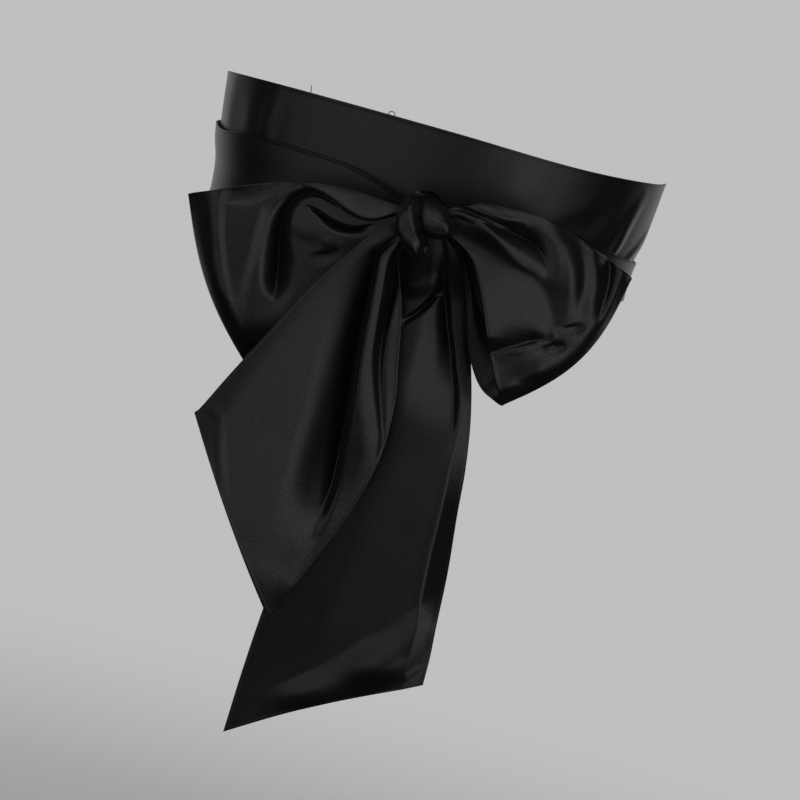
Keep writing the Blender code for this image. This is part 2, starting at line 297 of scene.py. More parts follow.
def through(marks, values, at, steady=False):
    # a smooth curve through values at marks: cubic pieces with slopes from the neighbours. A
    # steady curve never overshoots: its slope is the harmonic mean of the two beside it, or 0
    slopes = np.gradient(values, marks)
    if steady:
        pace = np.diff(values) / np.diff(marks)
        before, after = pace[:-1], pace[1:]
        same = before * after > 0
        mean = 2 * before * after / np.where(same, before + after, 1)
        slopes = np.concatenate([pace[:1], np.where(same, mean, 0), pace[-1:]])
    left = np.clip(np.searchsorted(marks, at, side="right") - 1, 0, len(marks) - 2)
    step = marks[left + 1] - marks[left]
    s = (at - marks[left]) / step
    return (
        (1 + 2 * s) * (1 - s) ** 2 * values[left]
        + s * (1 - s) ** 2 * step * slopes[left]
        + s * s * (3 - 2 * s) * values[left + 1]
        + s * s * (s - 1) * step * slopes[left + 1]
    )


def alongLine(points, spacing):
    # even steps along a smooth curve through the line's few points
    points = np.asarray(points, float)
    marks = np.append(0, np.cumsum(np.linalg.norm(np.diff(points[:, :2], axis=0), axis=1)))
    at = np.linspace(0, marks[-1], max(2, int(round(marks[-1] / spacing)) + 1))
    return np.stack([through(marks, column, at) for column in points.T], axis=-1)


def eased(share):
    # 0 below 0, 1 above 1, and between them the square of s times (3 - 2 s)
    share = np.clip(share, 0, 1)
    return share * share * (3 - 2 * share)


forms = {"round": (2, 2), "sharp": (1, 2), "slope": (1, 1.25)}
lineStep = 1.5  # between the points along a crease's line


def creaseHeights(x, z, creases):
    # each crease runs through a few points of x and z. A place's height is the crease's rise
    # there times (1 - d^a)^b, where d is its distance from the line over the crease's reach on
    # that side, and a and b are that side's form. A rise above zero stands forwards.
    # Left and right are as for someone who walks the line from its start with z up
    total = np.zeros_like(x)
    for say in creases:
        line = alongLine(say["at"], lineStep)
        steps = np.linspace(0, 1, len(line))
        ends = {}
        for side in ("left", "right"):
            reach = np.atleast_1d(np.asarray(say[side], float))
            ends[side] = np.interp(steps, np.linspace(0, 1, len(reach)), reach)
        rises = np.asarray(say["rise"], float)
        rise = through(np.linspace(0, 1, len(rises)), rises, steps)
        most = max(ends["left"].max(), ends["right"].max())
        near = (x > line[:, 0].min() - most) & (x < line[:, 0].max() + most)
        near &= (z > line[:, 1].min() - most) & (z < line[:, 1].max() + most)
        if not near.any():
            continue
        spot = np.stack([x[near], z[near]], axis=-1)[:, None]
        run = np.diff(line, axis=0)
        off = spot - line[:-1]
        s = np.clip((off * run).sum(-1) / ((run**2).sum(-1) + 1e-9), 0, 1)
        off = off - s[..., None] * run
        apart = np.hypot(off[..., 0], off[..., 1])
        pick = apart.argmin(axis=1)
        rows = np.arange(len(pick))
        dist, off, s, run = apart[rows, pick], off[rows, pick], s[rows, pick], run[pick]
        at = (pick + s) / (len(line) - 1)
        turn = (run[:, 0] * off[:, 1] - run[:, 1] * off[:, 0]) / (np.hypot(*run.T) * dist + 1e-6)
        reach = {side: np.interp(at, steps, ends[side]) for side in ends}
        toLeft = 0.5 + 0.5 * turn
        width = reach["left"] * toLeft + reach["right"] * (1 - toLeft)
        leftForm = forms[say.get("leftForm", "round")]
        rightForm = forms[say.get("rightForm", "round")]
        inner, outer = (a * toLeft + b * (1 - toLeft) for a, b in zip(leftForm, rightForm))
        d = np.clip(dist / width, 0, 1)
        total[near] += np.interp(at, steps, rise) * (1 - d**inner) ** outer
    return total


foldGap = 0.5  # the least distance from one fold to the next


def pleated(x, z, folds):
    # how far forwards the cloth stands when it is folded up and down. At each height it goes
    # straight from fold to fold, left to right, and bends evenly within round of each: the
    # first fold's distance, plus the slope after it times the way from it, plus at every later
    # fold the change of slope times (d + round)^2 / (4 round) within round of it and times d
    # beyond, d the way right of the fold
    places, forwards, rounds = [], [], []
    for bend, points in folds.values():
        points = np.asarray(points, float)
        down = np.clip(-z, -points[0, 1], -points[-1, 1])
        place = through(-points[:, 1], points[:, 0], down, steady=True)
        places.append(np.maximum(place, places[-1] + foldGap) if places else place)
        forwards.append(through(-points[:, 1], points[:, 2], down, steady=True))
        rounds.append(bend)
    gaps = range(len(places) - 1)
    slopes = [(forwards[i + 1] - forwards[i]) / (places[i + 1] - places[i]) for i in gaps]
    total = forwards[0] + slopes[0] * (x - places[0])
    for i in range(1, len(slopes)):
        way, reach = x - places[i], rounds[i]
        bent = (np.clip(way, -reach, reach) + reach) ** 2 / (4 * reach)
        bent += np.clip(way - reach, 0, None)
        total += (slopes[i] - slopes[i - 1]) * bent
    return total


def clothShell(name, grid, edge, uv):
    # a thin closed wall about the grid: half the wall either way along the normal, plus the
    # hem's extra times 1 / (1 + e^((d - hemWidth) / hemBend)), less the dent times
    # e^-((d - hemWidth) / dentWidth)^2 in front, all times the root of 1 - (1 - d / rim)^2
    # within the rim. d is the point's distance from the nearest free edge of the cloth
    rows, columns = grid.shape[:2]
    normal = normalsOf(grid)
    hem = 1 / (1 + np.exp((edge - cloth["hemWidth"]) / cloth["hemBend"]))
    dent = np.exp(-(((edge - cloth["hemWidth"]) / cloth["dentWidth"]) ** 2))
    rim = np.sqrt(1 - np.clip(1 - edge / cloth["rim"], 0, 1) ** 2)
    rim = np.clip(rim, cloth["rimLeast"], 1)
    ahead, behind = cloth["hemForwards"], 1 - cloth["hemForwards"]
    front = cloth["wall"] / 2 + ahead * cloth["hemExtra"] * hem - cloth["hemDent"] * dent
    back = cloth["wall"] / 2 + behind * cloth["hemExtra"] * hem
    points = np.concatenate([
        (grid + normal * (front * rim)[..., None]).reshape(-1, 3),
        (grid - normal * (back * rim)[..., None]).reshape(-1, 3),
    ])
    below = rows * columns
    quads = gridFaces(rows, columns)
    ring = np.concatenate([
        np.arange(columns),
        np.arange(1, rows) * columns + columns - 1,
        (rows - 1) * columns + np.arange(columns - 2, -1, -1),
        np.arange(rows - 2, 0, -1) * columns,
    ])
    after = np.roll(ring, -1)
    sides = np.stack([after, ring, ring + below, after + below], axis=-1)
    faces = np.concatenate([quads, quads[:, ::-1] + below, sides])
    if volumeOf(points, faces) < 0:
        faces = faces[:, ::-1]
    return addMesh(name, points, faces, np.concatenate([uv, uv]))


def areaOf(grid):
    # the sum of the grid's quads, each half the cross product of its diagonals
    a = grid[1:, 1:] - grid[:-1, :-1]
    b = grid[1:, :-1] - grid[:-1, 1:]
    return float(np.linalg.norm(np.cross(a, b), axis=-1).sum() / 2 * mm * mm)


sectionColumns = "xa ya za xb yb zb puff bow"

# where a bow piece's folds and creases begin and end, in millimetres along its run
blend = {
    "creasesGrow": 14.0,  # creases grow to their full height over this way from the knot
    "foldsGrow": 9.0,
    "foldsFade": 7.0,  # a loop's folds fade over this way before it turns back
    "turnShare": 0.05,  # share of the run over which the front layer's creases fade
    "gathered": 0.6,  # a gathered hem keeps at least this share of its width
}


def ribbonGrid(say):
    # the ribbon of one bow piece: sections across it joined by smooth curves, each arched
    # forwards by its puff and along the ribbon by its bow, then lifted by its folds. The
    # folds act on the front layer, up to the share lastFront of the run
    edge = table(say["sections"], sectionColumns)
    middle = np.array([edge[axis + "a"] + edge[axis + "b"] for axis in "xyz"]) / 2
    marks = np.append(0, np.cumsum(np.linalg.norm(np.diff(middle), axis=0)))
    run = spread(marks[-1], say["step"], False, say["cutEnd"])
    col = {key: through(marks, values, run)[:, None] for key, values in edge.items()}
    across = spread(cloth["width"], say["step"])
    share = across[None, :] / cloth["width"]
    arch = np.sin(np.pi * share)
    chordX, chordZ = col["xb"] - col["xa"], col["zb"] - col["za"]
    push = say["side"] * col["bow"] * arch / np.hypot(chordX, chordZ)
    x = col["xa"] + share * chordX + push * chordZ
    z = col["za"] + share * chordZ - push * chordX
    y = col["ya"] + share * (col["yb"] - col["ya"]) - col["puff"] * arch
    along = run[:, None]
    turned = say["lastFront"] * marks[-1]
    ahead = eased((say["lastFront"] - along / marks[-1]) / blend["turnShare"])
    begin = np.clip(along / blend["creasesGrow"], 0, 1)
    away = np.clip(along / blend["foldsGrow"], 0, 1)
    away = eased(away * np.clip((turned - along) / blend["foldsFade"], 0, 1))
    y = y + away * (-pleated(x, z, say["folds"]) - y)
    y = y - creaseHeights(x, z, say["creases"]) * ahead * begin
    # the hidden layer's folds are placed by the distance run and the distance across
    runs, acrosses = np.broadcast_arrays(along, across[None, :])
    y = y + creaseHeights(runs.copy(), acrosses.copy(), say.get("hidden", ())) * (1 - ahead)
    grid = np.stack([x, y, z], axis=-1)
    # a gathered hem is gathered too
    scale = np.clip(np.hypot(chordX, chordZ) / cloth["width"], blend["gathered"], 1)
    rim = np.minimum(across, cloth["width"] - across)[None, :] * scale
    if say["cutEnd"]:
        rim = np.minimum(rim, marks[-1] - along)
    uv = np.stack([runs, acrosses], axis=-1).reshape(-1, 2) * mm
    return grid, rim, uv


def addRibbon(name, gridOf, say):
    # the thin shell about the grid of that piece
    grid, rim, uv = gridOf(say)
    made = clothShell(name, grid, rim, uv)
    print(name, "made,", len(made.data.polygons), "faces,", round(areaOf(grid), 4), "m2")
    return made


waistColumns = "height halfWidth front back"
woundColumns = "turn top bottom out"

wound = {
    "waist": (
        (-40, 117.5, 92.2, 82.0),
        (-15, 119.6, 92.8, 83.0),
        (-4, 122.6, 93.4, 84.0),
        (10, 124.4, 94.0, 85.0),
        (36, 127.0, 94.4, 87.0),
    ),
    "round": 690.0,  # once round the waist
    "ends": 0.988,  # turns from the front centre to either end, behind the knot
    "steps": 640,
    "widest": 66.0,  # the folded ribbon's width where it is widest
    "step": 1.45,
    "hemScale": 0.8,
    "path": (
        (-0.990, -7.5, -26, 19.0),
        (-0.970, -3, -30, 8.0),
        (-0.945, 2, -33, 3.8),
        (-0.90, 4, -36, 2.8),
        (-0.84, 3.5, -37, 2.8),
        (-0.80, 1.5, -36, 2.6),
        (-0.75, 4, -35, 2.5),
        (-0.70, 4, -36, 2.5),
        (-0.62, -1, -38, 2.5),
        (-0.56, 4, -36, 2.6),
        (-0.50, 13, -30, 2.4),
        (-0.44, 19, -18, 2.4),
        (-0.40, 21.5, -8, 2.3),
        (-0.36, 24, -6, 1.2),
        (-0.32, 27, -9, 0.2),
        (-0.28, 30, -13, 0.0),
        (-0.25, 32, -17, 0.0),
        (-0.20, 31.6, -20, 0.0),
        (-0.10, 31.2, -24, 0.0),
        (0.00, 34.3, -26, 0.0),
        (0.10, 35.2, -24, 0.0),
        (0.20, 33.8, -18, 0.0),
        (0.25, 32.6, -15, 0.0),
        (0.32, 28.5, -17, 0.0),
        (0.40, 23, -17, 0.0),
        (0.50, 12, -28, 0.0),
        (0.56, 5, -34, 0.0),
        (0.60, -3, -37, 0.0),
        (0.64, -8.5, -38, 0.9),
        (0.68, -11.5, -38, 2.2),
        (0.75, -15.5, -37, 2.2),
        (0.80, -13.3, -38, 2.2),
        (0.84, -10, -39, 2.2),
        (0.87, -6, -39, 2.2),
        (0.90, -1, -38, 2.4),
        (0.945, 2, -35, 3.6),
        (0.970, 0.5, -28, 8.0),
        (0.990, -5, -19, 19.0),
    ),
    # x is the distance round from the front centre here, and z the height
    "creases": (
        {"at": ((-115, -12), (-118, 4), (-126, 22)), "rise": (2.2, 1.6, 0.4), "left": 8,
         "right": 7},
        {"at": ((-138, -16), (-147, -5), (-160, 8)), "rise": (1.6, 1.2, 0.3), "left": 6,
         "right": 6},
        {"at": ((-74, -4), (-90, 4), (-98, 22)), "rise": (-0.8, -1.3, -0.6), "left": 12,
         "right": 11},
        {"at": ((96, -2), (96, 12), (92, 30)), "rise": (0.5, 0.9, 0.5), "left": 9, "right": 9},
        {"at": ((124, -4), (127, 12), (124, 30)), "rise": (-0.4, -0.8, -0.4), "left": 16,
         "right": 16},
        {"at": ((-36, -6), (-40, 8), (-46, 28)), "rise": (0.3, 0.7, 0.3), "left": 18, "right": 18},
    ),
}


def waistRibbonGrid(say):
    # height and distance out are smooth curves of the turn round the waist; a point stands
    # that far out from an oval whose half sizes change with the height
    path = table(say["path"], woundColumns)
    waist = table(say["waist"], waistColumns)
    turn = np.linspace(-say["ends"], say["ends"], say["steps"])[:, None]
    across = spread(say["widest"], say["step"], hemScale=say["hemScale"])
    share = across[None, :] / say["widest"]
    col = {key: through(path["turn"], values, turn) for key, values in path.items()}
    z = col["bottom"] + share * (col["top"] - col["bottom"])
    arc = turn * say["round"] + np.zeros_like(z)
    out = col["out"] + creaseHeights(arc, z, say["creases"])
    angle = 2 * np.pi * turn
    halfWidth = through(waist["height"], waist["halfWidth"], z)
    front = through(waist["height"], waist["front"], z)
    back = through(waist["height"], waist["back"], z)
    depth = np.where(np.cos(angle) > 0, front, back)
    x = -(halfWidth + out) * np.sin(angle)
    y = -(depth + out) * np.cos(angle)
    grid = np.stack([x, y, z], axis=-1)
    edge = np.minimum(across, say["widest"] - across)[None, :] + np.zeros_like(z)
    cut = np.broadcast_to(across, arc.shape) * cloth["width"] / say["widest"]
    uv = np.stack([arc, cut], axis=-1)
    return grid, edge, uv.reshape(-1, 2) * mm


loopLeft = {
    "side": 1,
    "step": 0.9,
    "cutEnd": False,
    "lastFront": 0.5,
    "sections": (
        (-5, -121, -12, -4, -121, -21, 0, 0),
        (-14, -121, -10, -10, -121, -24, 1, 0),
        (-25, -122, -9, -15, -121, -31, 2, 0),
        (-40, -122, -8, -23, -120, -43, 3, 0),
        (-58, -120, -9, -31, -119, -60, 3, 0),
        (-76, -117, -13, -41, -118, -79, 3, 0),
        (-94, -114, -19, -51, -115, -97, 3, 1),
        (-111, -109, -26, -60, -110, -111, 2, 3),
        (-126, -102, -33, -69, -103, -119, 0, 7),
        (-112, -93, -30, -61, -95, -113, -3, 3),
        (-92, -95, -24, -50, -96, -99, -3, 0),
        (-70, -98, -18, -40, -98, -80, -2, 0),
        (-46, -101, -14, -28, -101, -58, -1, 0),
        (-26, -106, -12, -17, -106, -36, 0, 0),
        (-13, -112, -12, -9, -112, -24, 0, 0),
        (-5, -113, -13, -4, -113, -20, 0, 0),
    ),
    # the folds from left to right: how round each is, then its x, z and distance forwards
    "folds": {
        "rim": (2, (
            (-127, -30, 101.5), (-124, -42, 102), (-119, -58, 102.5), (-110, -76, 103.5),
            (-97, -95, 104), (-76, -117, 102),
        )),
        "strip": (3, (
            (-113, -20, 115.4), (-113, -27, 115.8), (-112.6, -34, 116.4), (-109.6, -46, 117.2),
            (-106.4, -56, 117.4), (-102.6, -67, 117.6), (-97, -78, 117.8), (-90, -87, 117.2),
            (-82, -98, 113.5), (-73, -112, 106),
        )),
        "left arm": (1.4, (
            (-109, -20, 115.8), (-109.4, -28, 116.6), (-109.4, -34, 118), (-107, -46, 118.9),
            (-103.2, -56, 118.9), (-99.4, -67, 119.1), (-94, -78, 119.2), (-88, -87, 117.8),
            (-80.5, -98, 114), (-72, -112, 106.4),
        )),
        "bowl": (1.4, (
            (-103, -20, 115.4), (-103.6, -28, 115.8), (-103, -35, 116.2), (-101, -46, 116.8),
            (-98, -56, 117), (-94.2, -67, 117.2), (-90, -76, 117.6), (-86, -86, 117.2),
            (-79, -98, 114), (-71, -112, 106.6),
        )),
        "bowl side": (1.6, (
            (-88, -14, 114.4), (-87.4, -21.5, 114.8), (-87, -27.5, 115.4), (-86.6, -34, 116),
            (-86.4, -46, 116.2), (-86.4, -58, 116.2), (-86.6, -68, 116.4), (-86.8, -77, 117.2),
            (-84, -86, 116.8), (-77.5, -98, 113.8), (-70, -112, 107),
        )),
        "right arm": (2, (
            (-79, -12, 112.6), (-79.4, -16, 113), (-80.4, -22, 113.8), (-80.8, -34, 114.1),
            (-80.8, -46, 114.2), (-80.8, -58, 114.4), (-81, -68, 114.8), (-81, -77, 115.8),
            (-79, -86, 115.8), (-75, -98, 113.5), (-69, -112, 107.4),
        )),
        "shelf": (4, (
            (-73, -11, 111.6), (-75, -16, 112.4), (-76.4, -24, 113), (-77.4, -34, 113),
            (-77.6, -46, 113.2), (-77, -58, 113.8), (-76, -68, 114.6), (-75, -78, 115.2),
            (-74, -88, 115.2), (-71, -98, 113.2), (-67, -110, 108),
        )),
        "far side": (4, (
            (-66, -11, 118), (-66, -20, 117.4), (-67.6, -28, 117.6), (-66.6, -37, 118),
            (-63.6, -46, 118), (-61, -56, 117.6), (-60, -66, 117.2), (-61, -76, 116.6),
            (-63, -86, 115.6), (-63, -100, 112.8),
        )),
        "lobe": (5, (
            (-50, -10, 120.3), (-50, -20, 120), (-49, -31, 121.4), (-47, -40, 121.4),
            (-45.5, -49, 120.6), (-44.5, -58, 119.4), (-44.5, -67, 118.2), (-46, -78, 117),
            (-50, -97, 114),
        )),
        "hem": (2, (
            (-8, -14, 122), (-14, -27, 121.5), (-23, -43, 120.5), (-31, -60, 119),
            (-41, -79, 117.5), (-51, -97, 114.5),
        )),
    },
    "creases": (
        # the hollow along the top, lit on its lower side
        {"at": ((-110, -28.5), (-101, -27.5), (-93, -25), (-86.5, -20.5), (-81, -15.5),
         (-76, -12)), "rise": (-0.8, -2.1, -2.3, -2.3, -1.8, -1.0), "left": 9, "right": 6.4},
        # the leaf over the wing
        {"at": ((-66, -11.6), (-60, -11.8), (-54, -13), (-48, -15), (-40.6, -18.2), (-33, -20.2),
         (-26, -19.7), (-20, -16.8), (-14, -13.5)),
         "rise": (0.4, 1.4, 2.5, 3.8, 5.2, 5.8, 5.2, 3.8, 1.5),
         "left": (2, 3, 4.5, 7, 10.5, 12, 11, 8, 5), "right": 1.6, "leftForm": "slope"},
        # the deep valley, from under the leaf round and down behind the wing
        {"at": ((-44, -18.6), (-50, -16.6), (-57, -15.2), (-63, -16), (-68.4, -19.6),
         (-71.8, -25.6), (-73.2, -32.6), (-72.6, -41), (-71, -50), (-69.3, -59), (-68, -67),
         (-66.6, -77)), "rise": (-0.8, -2.6, -4.8, -7, -9, -11, -12, -11, -1.2),
         "left": (1.2, 2.6, 4, 5.4, 6.6, 8.4, 11, 11.4, 9),
         "right": (1.2, 2.4, 4, 5.6, 7, 8.6, 10.6, 11, 9), "leftForm": "sharp",
         "rightForm": "sharp"},
        # the slot over the finger, and the finger's roll
        {"at": ((-61, -22.8), (-55, -24.2), (-48, -26.6), (-40, -28), (-33, -27.2), (-27, -24.4)),
         "rise": (-1.2, -5, -7.4, -7.6, -5, -1.2), "left": 1.4, "right": (3, 6, 5.4),
         "leftForm": "sharp", "rightForm": "sharp"},
        {"at": ((-66, -32.4), (-60, -33.4), (-50, -33.2), (-38, -32), (-30, -30)),
         "rise": (0.7, 1.0, 0.9, 0.7, 0.3), "left": (4, 4.6, 3.4), "right": (8, 10, 8)},
        {"at": ((-46, -38.5), (-42, -37.5)), "rise": (0.5, 0.5), "left": 5, "right": 4},
        {"at": ((-50, -47.4), (-46, -45.6), (-42, -43.6)), "rise": (-0.5, -1.1, -0.5), "left": 3.4,
         "right": 6},
    ),
    "hidden": (
        {"at": ((170, 24), (200, 34), (232, 44)), "rise": (1.0, 4.0, 3.0), "left": 13,
         "right": 13},
        {"at": ((160, 70), (196, 62), (235, 56)), "rise": (-1.0, -3.5, -2.0), "left": 12,
         "right": 11},
    ),
}

loopRight = {
    "side": -1,
    "step": 0.85,
    "cutEnd": False,
    "lastFront": 0.5,
    "sections": (
        (7, -121, -10, 8, -121, -19, 0, 0),
        (13, -121, -4, 15, -121, -18, 1, 0),
        (20, -120, -1, 23, -124, -22, 1, 0),
        (31, -119, 3, 30, -127, -27, 1, 0),
        (45, -118, 3, 37, -129.5, -38, 1, 0),
        (60, -116, 3, 43, -131, -51, 2, 0),
        (75, -113, 0, 48, -131, -64, 2, 1),
        (92, -109, -7, 54, -129, -78, 2, 3),
        (105, -104, -12, 60, -123, -90, 2, 7),
        (117, -99, -18, 66, -113, -101, 0, 12),
        (104, -91, -16, 60, -104, -100, -2, 8),
        (86, -93, -12, 53, -103, -96, -2, 3),
        (66, -96, -8, 45, -103, -85, -2, 1),
        (48, -99, -6, 39, -104, -70, -1, 0),
        (34, -103, -6, 33, -105, -50, 0, 0),
        (22, -108, -8, 24, -108, -30, 0, 0),
        (13, -112, -9, 15, -112, -20, 0, 0),
        (7, -113, -12, 8, -113, -18, 0, 0),
    ),
    "folds": {
        "hem": (1, (
            (8, -8, 121), (15, -17, 122), (24, -22.5, 123.6), (31, -28, 126.6), (37, -38, 130.4),
            (43, -51, 132), (48, -64, 130.5), (52, -74, 124), (55, -80, 122), (60, -90, 119.5),
            (66, -101, 114),
        )),
        "ridge": (3, (
            (24, 2, 126), (29, -4, 128), (36, -11, 129.6), (48, -19, 126.4), (56, -24, 124),
            (65, -29, 120.6), (71, -33.5, 119), (76, -40, 117.8), (79.3, -46, 117.2),
            (81.2, -52, 117.2), (81, -58, 117.8), (80.5, -66, 118), (82, -74, 117.4),
            (84, -86, 112),
        )),
        "plain": (5, (
            (38, 2, 125), (44, -4, 125), (50, -11, 125), (60, -19, 122.6), (66, -24, 121.4),
            (73, -29, 120), (79, -36, 118.3), (83.6, -44, 117.4), (86.4, -52, 117),
            (87, -62, 116.2), (88, -74, 114.6), (89, -86, 111),
        )),
        "third side": (3, (
            (66, 2, 116.6), (72, -4, 116.4), (79, -10, 116.8), (82, -14.5, 117.4),
            (85.6, -21, 118.2), (87.4, -29, 118.8), (88.6, -38, 117.4), (90, -47, 116.6),
            (92, -57, 115.8), (93, -68, 114), (95, -76, 111),
        )),
        "fourth foot": (1.6, (
            (74, 2, 110), (81, -2, 108.6), (86, -8, 110.2), (88.6, -14, 111.6), (91, -21, 112.8),
            (92.6, -29, 113.8), (93.6, -38, 114.6), (95, -47, 115), (96, -57, 114.4),
            (97, -68, 112),
        )),
        "fourth side": (3, (
            (82, 2, 107), (88.5, -2, 106), (93.8, -8, 107.6), (96.8, -14, 109), (99.4, -21, 110.4),
            (101, -29, 111.6), (101.2, -38, 113.4), (101.4, -47, 113.6), (101, -57, 113),
            (101, -68, 111),
        )),
        "outer valley": (0.7, (
            (88, 2, 102), (95, -4, 100), (101, -10, 98.8), (104.8, -17, 99.4), (106, -27, 103),
            (105.6, -37, 107.6), (104.8, -47, 111.8), (103, -57, 111.6), (102.4, -68, 110),
        )),
        "outer ridge": (2, (
            (96, 2, 103), (105, -8, 102.4), (109.5, -17, 105.2), (109, -27, 108.6),
            (108, -37, 110.8), (107.6, -45, 111.6), (104.6, -56, 111.2), (103.6, -68, 109.4),
        )),
        "rim": (2, (
            (110, -8, 99), (117.5, -18, 98), (116, -31, 101), (113.5, -43, 103.5), (109, -56, 106),
            (106, -68, 107),
        )),
    },
    "creases": (
        # thin folds by the knot
        {"at": ((12, -8.5), (18, -6), (26, -7)), "rise": (0.8, 1.3, 0.5), "left": 2.6,
         "right": 2.6},
        {"at": ((16, -2.8), (28, -4.2), (38, -5.6), (47, -6.4)), "rise": (-1.0, -2.2, -2.2, -0.8),
         "left": 2.2, "right": 2.6},
        {"at": ((28, -0.4), (36, -1.4), (44, -2.6), (52, -1.6)), "rise": (0.4, 0.9, 1.1, 0.4),
         "left": 2.6, "right": 3},
        # the dark valley over the ridge
        {"at": ((30, -7), (40, -8.2), (50, -9.6), (58, -11.6), (65, -15), (70, -20.5), (73, -28)),
         "rise": (-1.0, -4.5, -8.0, -9.0, -7.0, -3.0, -0.3), "left": (3, 7, 11, 12.5, 11, 8, 7),
         "right": (2.4, 4, 6.4, 8.4, 8.4, 7.4, 6), "leftForm": "sharp", "rightForm": "sharp"},
        # the panel tucks in over the lower panel's edge
        {"at": ((51, -75.6), (57, -71.8), (64, -67.8), (71, -64), (79.5, -60)),
         "rise": (-0.6, -2.4, -4.4, -4.8, -1.6), "left": (8, 13, 16, 15, 8),
         "right": (1.8, 2.2, 2.4), "leftForm": "sharp"},
        {"at": ((60, -95), (68, -89.6), (77, -84.2), (86, -78.4), (95, -71)),
         "rise": (0.8, 2.2, 2.8, 2.6, 1.0), "left": (11, 13, 11), "right": (5, 6, 5)},
        # the hollows round the lozenge
        {"at": ((86, -53), (92, -50.4), (99, -47)), "rise": (-0.5, -1.8, -0.5), "left": 2.6,
         "right": 6, "leftForm": "sharp"},
        {"at": ((79, -65.5), (84, -63.5), (91, -60.5)), "rise": (-0.5, -2.6, -0.5), "left": 6,
         "right": 4, "leftForm": "sharp"},
    ),
    "hidden": (
        {"at": ((150, 20), (186, 34), (225, 46)), "rise": (1.0, 4.0, 3.0), "left": 11,
         "right": 11},
        {"at": ((150, 66), (188, 60), (225, 54)), "rise": (-1.0, -3.0, -2.0), "left": 11,
         "right": 11},
        {"at": ((104, 101), (140, 101), (188, 101)), "rise": (1.0, 2.2, 2.0), "left": 18,
         "right": 18},
    ),
}

